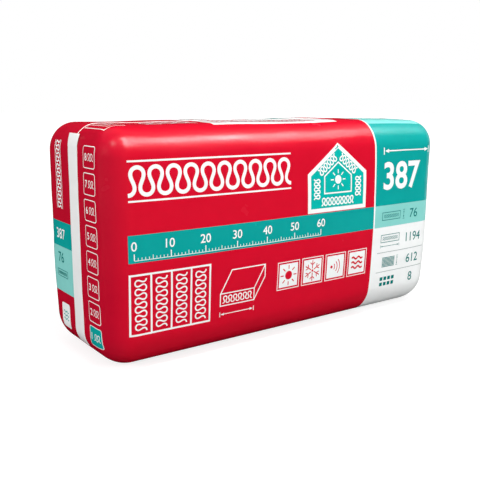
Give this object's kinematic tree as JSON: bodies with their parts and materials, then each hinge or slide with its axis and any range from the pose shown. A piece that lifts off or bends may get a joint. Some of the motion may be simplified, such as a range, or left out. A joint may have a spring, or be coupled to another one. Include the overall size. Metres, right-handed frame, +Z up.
{
  "type": "mineral wool batt pack",
  "caption": "Film-wrapped pack of mineral wool insulation batts, squeezed into a flat-lying stack with rounded edges, bulging sides, a printed skin and a lap seam down the ends.",
  "frame": {"origin": "middle of the flat underside, where the pack stands on a floor", "axes": "+X along the batts, +Y through their width, +Z up through the stack; the main printed face looks along -Y"},
  "size_m": [1.1974, 0.4188, 0.6126],
  "materials": {
    "film": "gloss printed film, red with teal and white panels",
    "wool": "matt mineral fibre"
  },
  "bodies": {
    "root": {"film_wrap": "film", "batts": "wool"}
  },
  "joints": []
}
